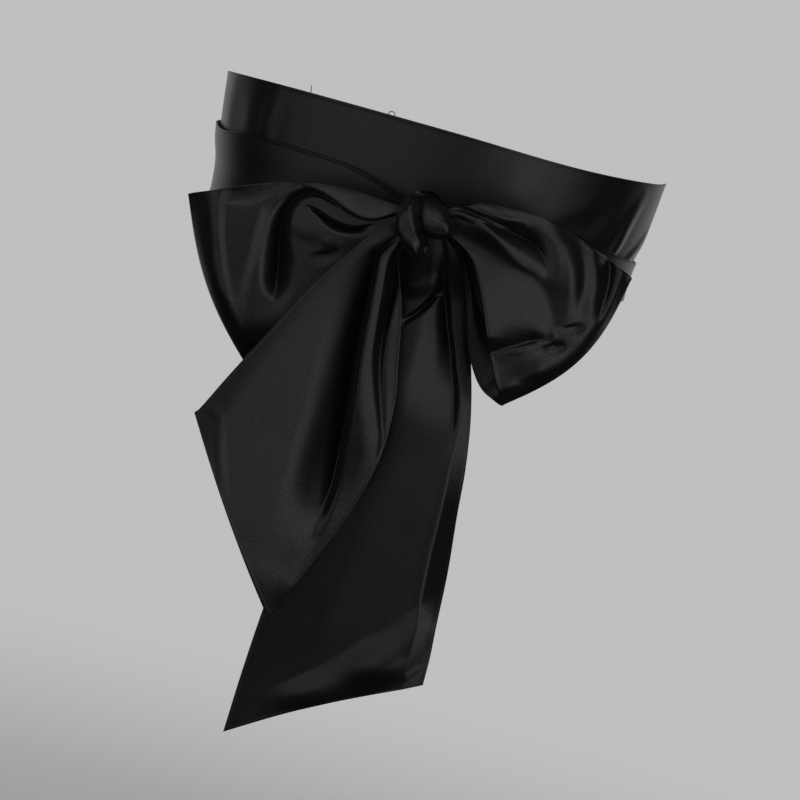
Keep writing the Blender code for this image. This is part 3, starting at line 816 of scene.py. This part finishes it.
tailFront = {
    "side": 1,
    "step": 0.85,
    "cutEnd": True,
    "lastFront": 2.0,
    "sections": (
        (-4, -123, -17, 2, -122, -22, 0, 0),
        (-12, -126, -18, -5, -122, -28, 1, 0),
        (-23, -128, -26, -7, -120, -37, 1, 0),
        (-33, -128.5, -39, -4, -119, -48, 1, 0),
        (-45, -128.5, -56, 0, -118, -60, 1, 0),
        (-55, -128.5, -73, 4, -117, -78, 1, 0),
        (-65, -128.5, -92, 7, -116, -95, 1, 0),
        (-74.6, -128, -110, 10, -115, -112, 1, 0),
        (-83, -128, -126, 10, -113, -143, 1, 0),
        (-89, -127.5, -138, 3, -112, -173, 1, 0),
        (-93, -127, -144, -28, -110, -246, 1, 1.5),
    ),
    "folds": {
        "hem": (2, (
            (-8, -16, 124), (-12, -18, 126), (-23, -26, 128), (-33, -39, 129), (-45, -56, 129),
            (-55, -73, 129), (-65, -92, 129), (-74.6, -110, 129.6), (-84, -127, 130.4),
            (-93, -144, 131.2), (-93, -180, 131.2), (-93, -218, 129.6), (-93, -246, 125),
        )),
        "panel": (6, (
            (-7, -16, 124.5), (-12, -20, 126.4), (-21, -27, 127.8), (-30, -39, 128.5),
            (-41, -56, 128.5), (-50.5, -73, 128.4), (-60, -92, 128.4), (-68, -110, 129),
            (-75, -127, 129.6), (-80, -144, 130.4), (-81, -180, 130.4), (-81, -218, 128.4),
            (-81, -246, 123.4),
        )),
        "shoulder": (7, (
            (-6, -18, 125), (-11.6, -24, 126.6), (-18, -31, 127), (-24, -40, 126.2),
            (-28, -52, 124.6), (-30.5, -68, 122.6), (-31.5, -90, 120.4), (-31.5, -110, 119),
            (-31, -130, 118.2), (-32, -150, 118), (-32, -170, 118), (-33, -190, 117.8),
            (-37, -218, 116.6), (-37, -246, 111.2),
        )),
        "wall": (4, (
            (-5, -18, 125), (-10.5, -24, 126.2), (-16.4, -31, 125.8), (-21.5, -40, 124),
            (-24, -52, 121.2), (-25, -68, 118), (-25.2, -90, 115.2), (-24.6, -110, 113),
            (-24, -130, 111.4), (-25.6, -150, 111.8), (-26, -170, 112.6), (-26, -184, 114.6),
            (-27, -196, 115.4), (-32, -218, 115), (-32, -246, 109.6),
        )),
        "valley": (1.2, (
            (-3, -18, 125), (-8.8, -24, 125.4), (-14, -31, 123.4), (-19, -40, 120),
            (-18.6, -52, 115), (-18, -68, 109.8), (-17.2, -84, 106.6), (-16, -100, 104),
            (-13.6, -120, 101.8), (-12.4, -135, 100.8), (-12, -150, 100), (-11.6, -165, 101.4),
            (-13, -176, 104.6), (-14.6, -187, 109.6), (-18, -201, 112.6), (-27, -218, 113.4),
            (-29, -246, 108.2),
        )),
        "pleat": (1.4, (
            (-2, -18, 125), (-7.5, -24, 126.6), (-12.4, -31, 127.4), (-17, -40, 127.4),
            (-16.6, -52, 126.8), (-15.8, -68, 125.6), (-15, -84, 124.2), (-13.8, -100, 122.6),
            (-11.6, -120, 120.6), (-10.4, -135, 118.8), (-9.5, -150, 116.4), (-8.8, -165, 114),
            (-9.5, -180, 112.6), (-13, -198, 111.2), (-21, -222, 111.4), (-24, -246, 105.2),
        )),
        "pleat middle": (3, (
            (-1, -18, 125), (-6.5, -24, 126.4), (-11, -31, 127), (-15.5, -40, 127),
            (-14.8, -52, 126.4), (-13.6, -68, 125.2), (-12.8, -84, 123.8), (-11.2, -100, 122.2),
            (-7, -120, 120.3), (-1.5, -133, 118.2), (1, -141, 117), (1, -150, 115.2),
            (0, -165, 112.5), (-4, -180, 111.2), (-9, -198, 110.6), (-18, -222, 110.6),
            (-22, -246, 104.6),
        )),
        "pleat side": (1.2, (
            (0, -18, 125), (-5.5, -24, 125.8), (-9.5, -31, 126), (-11.8, -40, 125.4),
            (-10.8, -54, 124.8), (-9.4, -72, 123.2), (-8.2, -86, 121.8), (-6.2, -97, 120.2),
            (-2, -111, 118.4), (2.6, -125, 117), (6.6, -138, 115), (7.2, -147, 113.6),
            (5, -160, 112), (-1, -178, 110.8), (-5, -198, 109.8), (-14, -222, 109.6),
            (-20, -246, 104),
        )),
        "hollow": (1, (
            (1, -18, 124), (-4.5, -24, 123), (-7.8, -31, 121), (-8.8, -40, 117.5),
            (-7.4, -54, 112), (-6, -68, 110.5), (-5.4, -78, 112.4), (-4.8, -88, 113.8),
            (-2.6, -99, 114.4), (0.8, -111, 114.6), (5, -124, 114.4), (8.6, -137, 113.2),
            (9, -147, 112.4), (7, -160, 111.4), (1, -178, 110.4), (-3, -198, 109.4),
            (-12, -222, 109), (-18, -246, 103.6),
        )),
        "strip": (1.4, (
            (2, -18, 124), (-3.5, -24, 123), (-6, -31, 121.5), (-5, -42, 119), (-3.2, -54, 117.5),
            (-3.6, -68, 117.6), (-3.4, -78, 117.4), (-2, -88, 117), (0, -99, 116.6),
            (3.4, -111, 115.8), (7.4, -124, 114.8), (10.2, -137, 113), (10.6, -147, 112.2),
            (8, -160, 111), (2, -178, 110), (-2, -198, 109), (-11, -222, 108.6),
            (-17, -246, 103.2),
        )),
        "right edge": (1, (
            (4, -18, 123), (0, -28, 121), (-1, -40, 118), (1, -54, 116.5), (4, -78, 115.8),
            (7.5, -95, 114.8), (10.5, -112, 113.8), (11.8, -135, 112.2), (11.8, -147, 111.6),
            (9.5, -160, 110.4), (3.5, -178, 109.4), (-0.5, -198, 108.4), (-10, -222, 108.2),
            (-16, -246, 102.8),
        )),
    },
    "creases": (
        {"at": ((-90, -139), (-84, -140), (-79, -143)), "rise": (0.1, 0.35, 0.1), "left": 4,
         "right": 4},
        {"at": ((-79, -143), (-77, -152), (-73, -166), (-67, -184)),
         "rise": (0.1, 0.28, 0.28, 0.1), "left": 4, "right": 4},
    ),
}

tailBack = {
    "side": 1,
    "step": 0.9,
    "cutEnd": True,
    "lastFront": 2.0,
    "sections": (
        (-5, -112, -18, 10, -112, -18, 0, 0),
        (-9, -109, -29, 22, -107, -27, 1, 0),
        (-11, -106, -45, 31, -103, -42, 1, 0),
        (-14, -103, -60, 37, -100.5, -60, 1, 0),
        (-18, -99, -85, 45, -98, -86, 1, 0),
        (-20, -98, -116, 52, -97, -114, 1, 0),
        (-22, -97, -147, 56, -96, -141, 1, 0),
        (-25, -96, -183, 58, -92, -168, 1, 0),
        (-29, -94, -216, 61, -91, -202, 1, 0),
        (-32, -92, -242, 62, -94, -229, 1, 0),
        (-35, -89, -280, 63, -99, -248, 0, 0),
        (-37, -86, -317, 63, -99, -263, 0, -2),
    ),
    "folds": {
        "left edge": (2, (
            (-8, -18, 111), (-9, -31, 107), (-12, -45, 101.8), (-15, -60, 97.2), (-18, -85, 96),
            (-20, -116, 97), (-22, -147, 98), (-25, -183, 96.2), (-29, -216, 93.4),
            (-35, -280, 87), (-37, -317, 84),
        )),
        "left grey": (4, (
            (0, -18, 112), (1, -31, 109), (2, -45, 103.8), (3, -60, 99.7), (3, -85, 99.6),
            (2, -116, 99), (4, -147, 96.8), (5, -183, 94), (3, -216, 91), (-3, -280, 85),
            (-20, -317, 83),
        )),
        "ridge start": (4, (
            (4, -18, 112), (8, -31, 108.5), (10, -45, 103.4), (12, -60, 99.8), (12.6, -85, 100),
            (11.5, -100, 100), (13, -116, 99.8), (15, -130, 98.8), (14.5, -150, 97),
            (12, -190, 93.8), (10, -216, 91.4), (8, -240, 89.4), (4, -280, 85.4),
            (-10, -317, 83.4),
        )),
        "ridge": (3, (
            (8, -18, 112), (12, -31, 108), (14.5, -45, 102.8), (19.5, -58, 97.8), (22.5, -68, 96),
            (25, -80, 95.6), (25.2, -92, 95.8), (24.2, -105, 96.4), (25, -118, 97.8),
            (28, -132, 98.8), (30, -150, 98.8), (30, -190, 96.6), (30, -216, 94.8), (28, -250, 92),
            (20, -290, 87.4),
        )),
        "gully": (1.4, (
            (11, -18, 111.5), (16, -31, 106), (19, -44, 99), (23.8, -57, 93.3), (27.6, -68, 90.8),
            (32, -79, 90.1), (36.4, -92, 90.2), (39.6, -101, 91), (42, -113, 92.9),
            (44, -126, 96.6), (44, -145, 99.4), (44.5, -165, 99.6), (45, -190, 98.4),
            (45.5, -215, 97), (45, -250, 94.6), (44, -290, 91),
        )),
        "strip": (0.6, (
            (13, -18, 111.5), (18.5, -31, 106.6), (21.4, -44, 101), (26, -57, 96.9),
            (29.8, -68, 95.6), (34.2, -79, 95.7), (38.8, -92, 96.2), (42.2, -101, 96.4),
            (45, -113, 96.7), (46.4, -126, 98), (47.4, -145, 99.4), (48.6, -165, 99.4),
            (49, -190, 98), (50, -215, 96.8), (52, -250, 95), (52, -290, 92),
        )),
        "right edge": (1, (
            (18, -18, 110), (26, -31, 105), (32, -45, 99.4), (36.5, -58, 94.8), (41.5, -77, 93.3),
            (47, -98, 94), (52, -114, 94.6), (55, -132, 95), (57, -148, 93.6), (58, -165, 91.2),
            (59, -190, 89.2), (60.5, -210, 88), (61.5, -220, 88.4), (62.5, -234, 90),
            (63, -250, 92), (63, -290, 91),
        )),
    },
    "creases": (
        {"at": ((4, -71), (9.5, -65.5), (14, -59), (18, -52)), "rise": (-1.5, -4.0, -4.5, -2.0),
         "left": 3, "right": 2.4},
        {"at": ((-1, -56), (8, -51.5), (16, -45)), "rise": (0.2, 0.8, 0.4), "left": 5, "right": 5},
        {"at": ((-14, -293), (0, -285), (14, -276), (32, -262), (50, -244), (61, -230)),
         "rise": (0.4, 3.4, 2.2, 6.0, 2.6, 3.8), "left": (9, 11, 14, 17, 16, 16),
         "right": (10, 12, 14, 15, 16, 14)},
        {"at": ((53, -261), (58, -255)), "rise": (0.35, 0.35), "left": 3, "right": 3},
    ),
}


knot = {
    # outlines seen from the front; lean moves a lobe's middle towards its front, and beyond
    # fallFrom along fallWay its front falls away at that rate
    "lobes": {
        "left": {
            "centre": (-4.5, -124.0, -16.0),
            "front": 14.0,
            "back": 12.5,
            "lean": (-1.5, -3.0),
            "fallWay": (0.25, 0.97),
            "fallFrom": -10.0,
            "fall": 0.75,
            "outline": (
                (-6.5, 0.8), (-10.2, -4.2), (-14.0, -10.6), (-13.8, -15.2), (-10.8, -23.1),
                (-5.6, -29.2), (1.2, -32.8), (5.4, -34.6), (6.8, -31.0), (7.0, -26.0),
                (4.4, -21.6), (1.8, -18.6), (-0.6, -12.7), (-2.4, -6.5), (-4.0, -1.2),
            ),
            "creases": (
                {"at": ((-5.7, -2.4), (-0.9, -13.5), (1.4, -19.4), (3.4, -24.4)),
                 "rise": (0.4, 0.9, 1.0, 0.5), "left": 1.5, "right": 1.3},
                {"at": ((-7, -4), (-5.4, -10), (-4, -15.5)), "rise": (-0.6, -1.2, -0.3),
                 "left": 2.2, "right": 3.2},
                {"at": ((4.8, -31), (4.4, -28.4), (5.4, -26)), "rise": (-2.0, -5.0, -1.5),
                 "left": 2.4, "right": 2.4},
                {"at": ((-12, -17), (-7.5, -24), (-1, -30)), "rise": (0.2, 0.7, 0.5), "left": 4.5,
                 "right": 4.5},
            ),
        },
        "right": {
            "centre": (5.5, -121.5, -10.5),
            "front": 12.5,
            "back": 11.5,
            "lean": (2.0, -1.5),
            "fallWay": (0.1, 0.99),
            "fallFrom": -11.6,
            "fall": 0.9,
            "outline": (
                (-5.5, -0.3), (-1.6, 1.4), (2.4, 1.7), (7.9, -1.4), (12.9, -7.0), (16.2, -12.0),
                (17.2, -15.0), (17.0, -18.2), (13.3, -20.6), (8.3, -22.4), (2.5, -22.0),
                (-2.5, -19.0), (-5.5, -12.0), (-6.5, -6.0),
            ),
            "creases": (
                {"at": ((0, -11.4), (4, -13), (9, -13.6), (16, -12.8)),
                 "rise": (0.1, 0.4, 0.6, 0.6), "left": 3.4, "right": 4.0},
            ),
        },
    },
    "around": 180,
    "rings": 110,
    "poleForm": 0.5,  # how blunt a lobe is: below 1 its sides stay full towards the poles
    "fallBend": 2.0,  # the fall begins gently over about this way
    "creasesFull": 0.5,  # share of the way to the front pole at which creases are full
    "clothStep": (0.4, 0.5),  # cloth that one step of the grid stands for
}


def lobeGrid(say):
    # a lump between a front and a back pole. At a turn round them and a tilt towards them the
    # reach is the outline's own reach times the tilt's cosine to the power poleForm, and the
    # depth is the lobe's depth times the tilt's sine. The front half leans, falls away and
    # takes the creases
    middle = np.array(say["centre"])
    corners = np.array(say["outline"]) - middle[[0, 2]]
    turns = np.degrees(np.arctan2(corners[:, 1], corners[:, 0]))
    order = np.argsort(turns)
    marks = np.concatenate([turns[order] - 360, turns[order], turns[order] + 360])
    reaches = np.tile(np.hypot(*corners.T)[order], 3)
    angle = np.linspace(-180, 180, knot["around"], endpoint=False)
    radius = through(marks, reaches, angle, steady=True)[None, :]
    tilt = np.linspace(-np.pi / 2, np.pi / 2, knot["rings"])[:, None]
    front = np.clip(-np.sin(tilt), 0, 1)
    reach = np.cos(tilt) ** knot["poleForm"]
    x = middle[0] + say["lean"][0] * front + radius * reach * np.cos(np.radians(angle))
    z = middle[2] + say["lean"][1] * front + radius * reach * np.sin(np.radians(angle))
    deep = np.where(tilt < 0, say["front"], say["back"]) * np.sin(tilt)
    past = x * say["fallWay"][0] + z * say["fallWay"][1] - say["fallFrom"]
    fall = say["fall"] * (past + np.sqrt(past**2 + knot["fallBend"] ** 2)) / 2
    ahead = np.clip(front / knot["creasesFull"], 0, 1)
    y = middle[1] + deep + ahead * fall - ahead * creaseHeights(x, z, say["creases"])
    return np.stack([x, y, z], axis=-1)


weldWithin = 0.02  # points closer than this become one


def addTubes(name, grids, uvs):
    # closed grids as one mesh, each turned right side out; their first and last rings are a
    # hair's breadth wide and are welded to points
    points, faces, count = [], [], 0
    for grid in grids:
        part = grid.reshape(-1, 3)
        quads = gridFaces(*grid.shape[:2], closed=True)
        if volumeOf(part, quads) < 0:
            quads = quads[:, ::-1]
        points.append(part)
        faces.append(quads + count)
        count += len(part)
    made = addMesh(name, np.concatenate(points), np.concatenate(faces), np.concatenate(uvs))
    weld = made.modifiers.new("close the ends", "WELD")
    weld.merge_threshold = weldWithin * mm
    return made


def addKnot(say):
    # both lobes; the cloth's pattern follows their rings
    grids = [lobeGrid(lobe) for lobe in say["lobes"].values()]
    spot = np.indices((say["rings"], say["around"])).reshape(2, -1).T * say["clothStep"] * mm
    return addTubes("bow_knot", grids, [spot] * len(grids))


threads = {
    "radius": 0.22,
    "tip": 0.001,
    "sides": 8,
    "step": 0.2,
    "paths": (
        # a small loop on the band's top edge, and a cut end that stands up
        ((-31.2, -91.6, 33.8), (-32.1, -91.6, 35.0), (-31.9, -91.6, 36.0), (-31.0, -91.6, 36.7),
         (-29.9, -91.6, 36.7), (-28.9, -91.6, 36.1), (-28.6, -91.6, 35.2), (-29.4, -91.6, 34.0)),
        ((-76.2, -75.5, 33.8), (-76.3, -75.5, 36.0), (-76.6, -75.5, 37.6), (-77.0, -75.5, 39.1)),
    ),
}


def addThreads(say):
    # a round tube along each path, which lies flat in its own upright plane; the last rings
    # shrink to a point
    grids = []
    for path in say["paths"]:
        path = np.asarray(path, float)
        line = alongLine(path[:, [0, 2]], say["step"])
        ahead = unit(np.gradient(line, axis=0))
        angle = np.linspace(0, 2 * np.pi, say["sides"], endpoint=False)
        size = np.full(len(line), say["radius"])
        size[[0, -1]] = say["tip"]
        out = size[:, None] * np.cos(angle)
        x = line[:, :1] + ahead[:, 1:] * out
        z = line[:, 1:] - ahead[:, :1] * out
        y = path[0, 1] + size[:, None] * np.sin(angle)
        grids.append(np.stack([x, y, z], axis=-1))
    uvs = [grid[..., [0, 2]].reshape(-1, 2) * mm for grid in grids]
    return addTubes("loose_threads", grids, uvs)


satin = {
    "base": (0.0034, 0.0034, 0.0040),
    "worn": (0.0050, 0.0050, 0.0056),
    "roughness": 0.39,
    "roughnessSpread": 0.16,
    "speckleSpread": 0.2,
    # how often each pattern repeats in a metre along the ribbon, and across it
    "floats": (240.0, 2600.0, 1.0),
    "speckle": (1050.0, 1300.0, 1.0),
    "clouds": (28.0, 40.0, 1.0),
    "bump": 0.5,
    "bumpDepth": 0.00006,  # in metres
    "glintFrom": 0.47,  # speckle above this starts to glint
    "glintFull": 0.72,
    "glint": 0.62,
    "coatRoughness": 0.34,
    "gloss": 0.42,
    "glossTint": (0.93, 0.91, 1.0),
    "coatTint": (0.95, 0.93, 1.0),
    "sheen": 0.04,
    "sheenRoughness": 0.35,
    "sheenTint": (0.8, 0.8, 0.9),
}


def addNoise(tree, place, scale, detail, roughness):
    # flat noise, stretched along or across the ribbon by its scale
    spot = addNode(tree, "ShaderNodeMapping", {}, {"Vector": place, "Scale": scale})
    return addNode(
        tree, "ShaderNodeTexNoise", {"noise_dimensions": "2D"},
        {"Vector": spot, "Scale": 1.0, "Detail": detail, "Roughness": roughness}, "Fac",
    )


def makeSatin(say):
    # near-black base under a soft gloss; fine threads run along the ribbon, and their floats
    # scatter the gloss a little and catch the light one by one
    made, tree = blank("black satin")
    place = addNode(tree, "ShaderNodeUVMap", {"uv_map": "cloth"}, {})
    floats = addNoise(tree, place, say["floats"], 2.0, 0.6)
    speck = addNoise(tree, place, say["speckle"], 2.0, 0.65)
    cloud = addNoise(tree, place, say["clouds"], 3.0, 0.5)
    tone = addNode(
        tree, "ShaderNodeMix", {"data_type": "RGBA"},
        {"Factor": cloud, "A": (*say["base"], 1), "B": (*say["worn"], 1)}, 2,
    )
    glint = addNode(
        tree, "ShaderNodeMapRange", {},
        {
            "Value": speck,
            "From Min": say["glintFrom"],
            "From Max": say["glintFull"],
            "To Max": say["glint"],
        },
    )
    rough = say["roughness"] + (floats - 0.5) * say["roughnessSpread"]
    rough = rough + (speck - 0.5) * say["speckleSpread"]
    height = floats * 0.5 + speck * 1.6 + cloud * 2
    bump = addNode(
        tree, "ShaderNodeBump", {},
        {"Strength": say["bump"], "Distance": say["bumpDepth"], "Height": height},
    )
    shader = addNode(
        tree, "ShaderNodeBsdfPrincipled", {},
        {
            "Base Color": tone,
            "Roughness": rough,
            "IOR": 1.5,
            "Specular IOR Level": say["gloss"],
            "Specular Tint": (*say["glossTint"], 1),
            "Coat Weight": glint,
            "Coat Roughness": say["coatRoughness"],
            "Coat Tint": (*say["coatTint"], 1),
            "Sheen Weight": say["sheen"],
            "Sheen Roughness": say["sheenRoughness"],
            "Sheen Tint": (*say["sheenTint"], 1),
            "Normal": bump,
        },
    )
    surfaceOut(tree, shader)
    return made


placeCamera(shot)
for name, size in lamps.items():
    addLamp(name, *size)
buildStage(studio)
print("studio ready")

waistRibbon = addRibbon("waist_ribbon", waistRibbonGrid, wound)
bowPieces = {
    "bow_loop_left": (loopLeft, "loop_left"),
    "bow_loop_right": (loopRight, "loop_right"),
    "bow_tail_front": (tailFront, "tail_front"),
    "bow_tail_back": (tailBack, "tail_back"),
}
made = {name: addRibbon(name, ribbonGrid, say) for name, (say, _) in bowPieces.items()}
bowKnot = addKnot(knot)
looseThreads = addThreads(threads)
print("knot and loose threads made")

blackSatin = makeSatin(satin)
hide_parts("band_front", "back_over", "back_under", "wrap_left", "wrap_right")
for name, (_, node) in bowPieces.items():
    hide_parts(node)
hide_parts("knot")
for piece in (waistRibbon, bowKnot, looseThreads, *made.values()):
    piece.data.materials.append(blackSatin)
    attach(piece, "root")
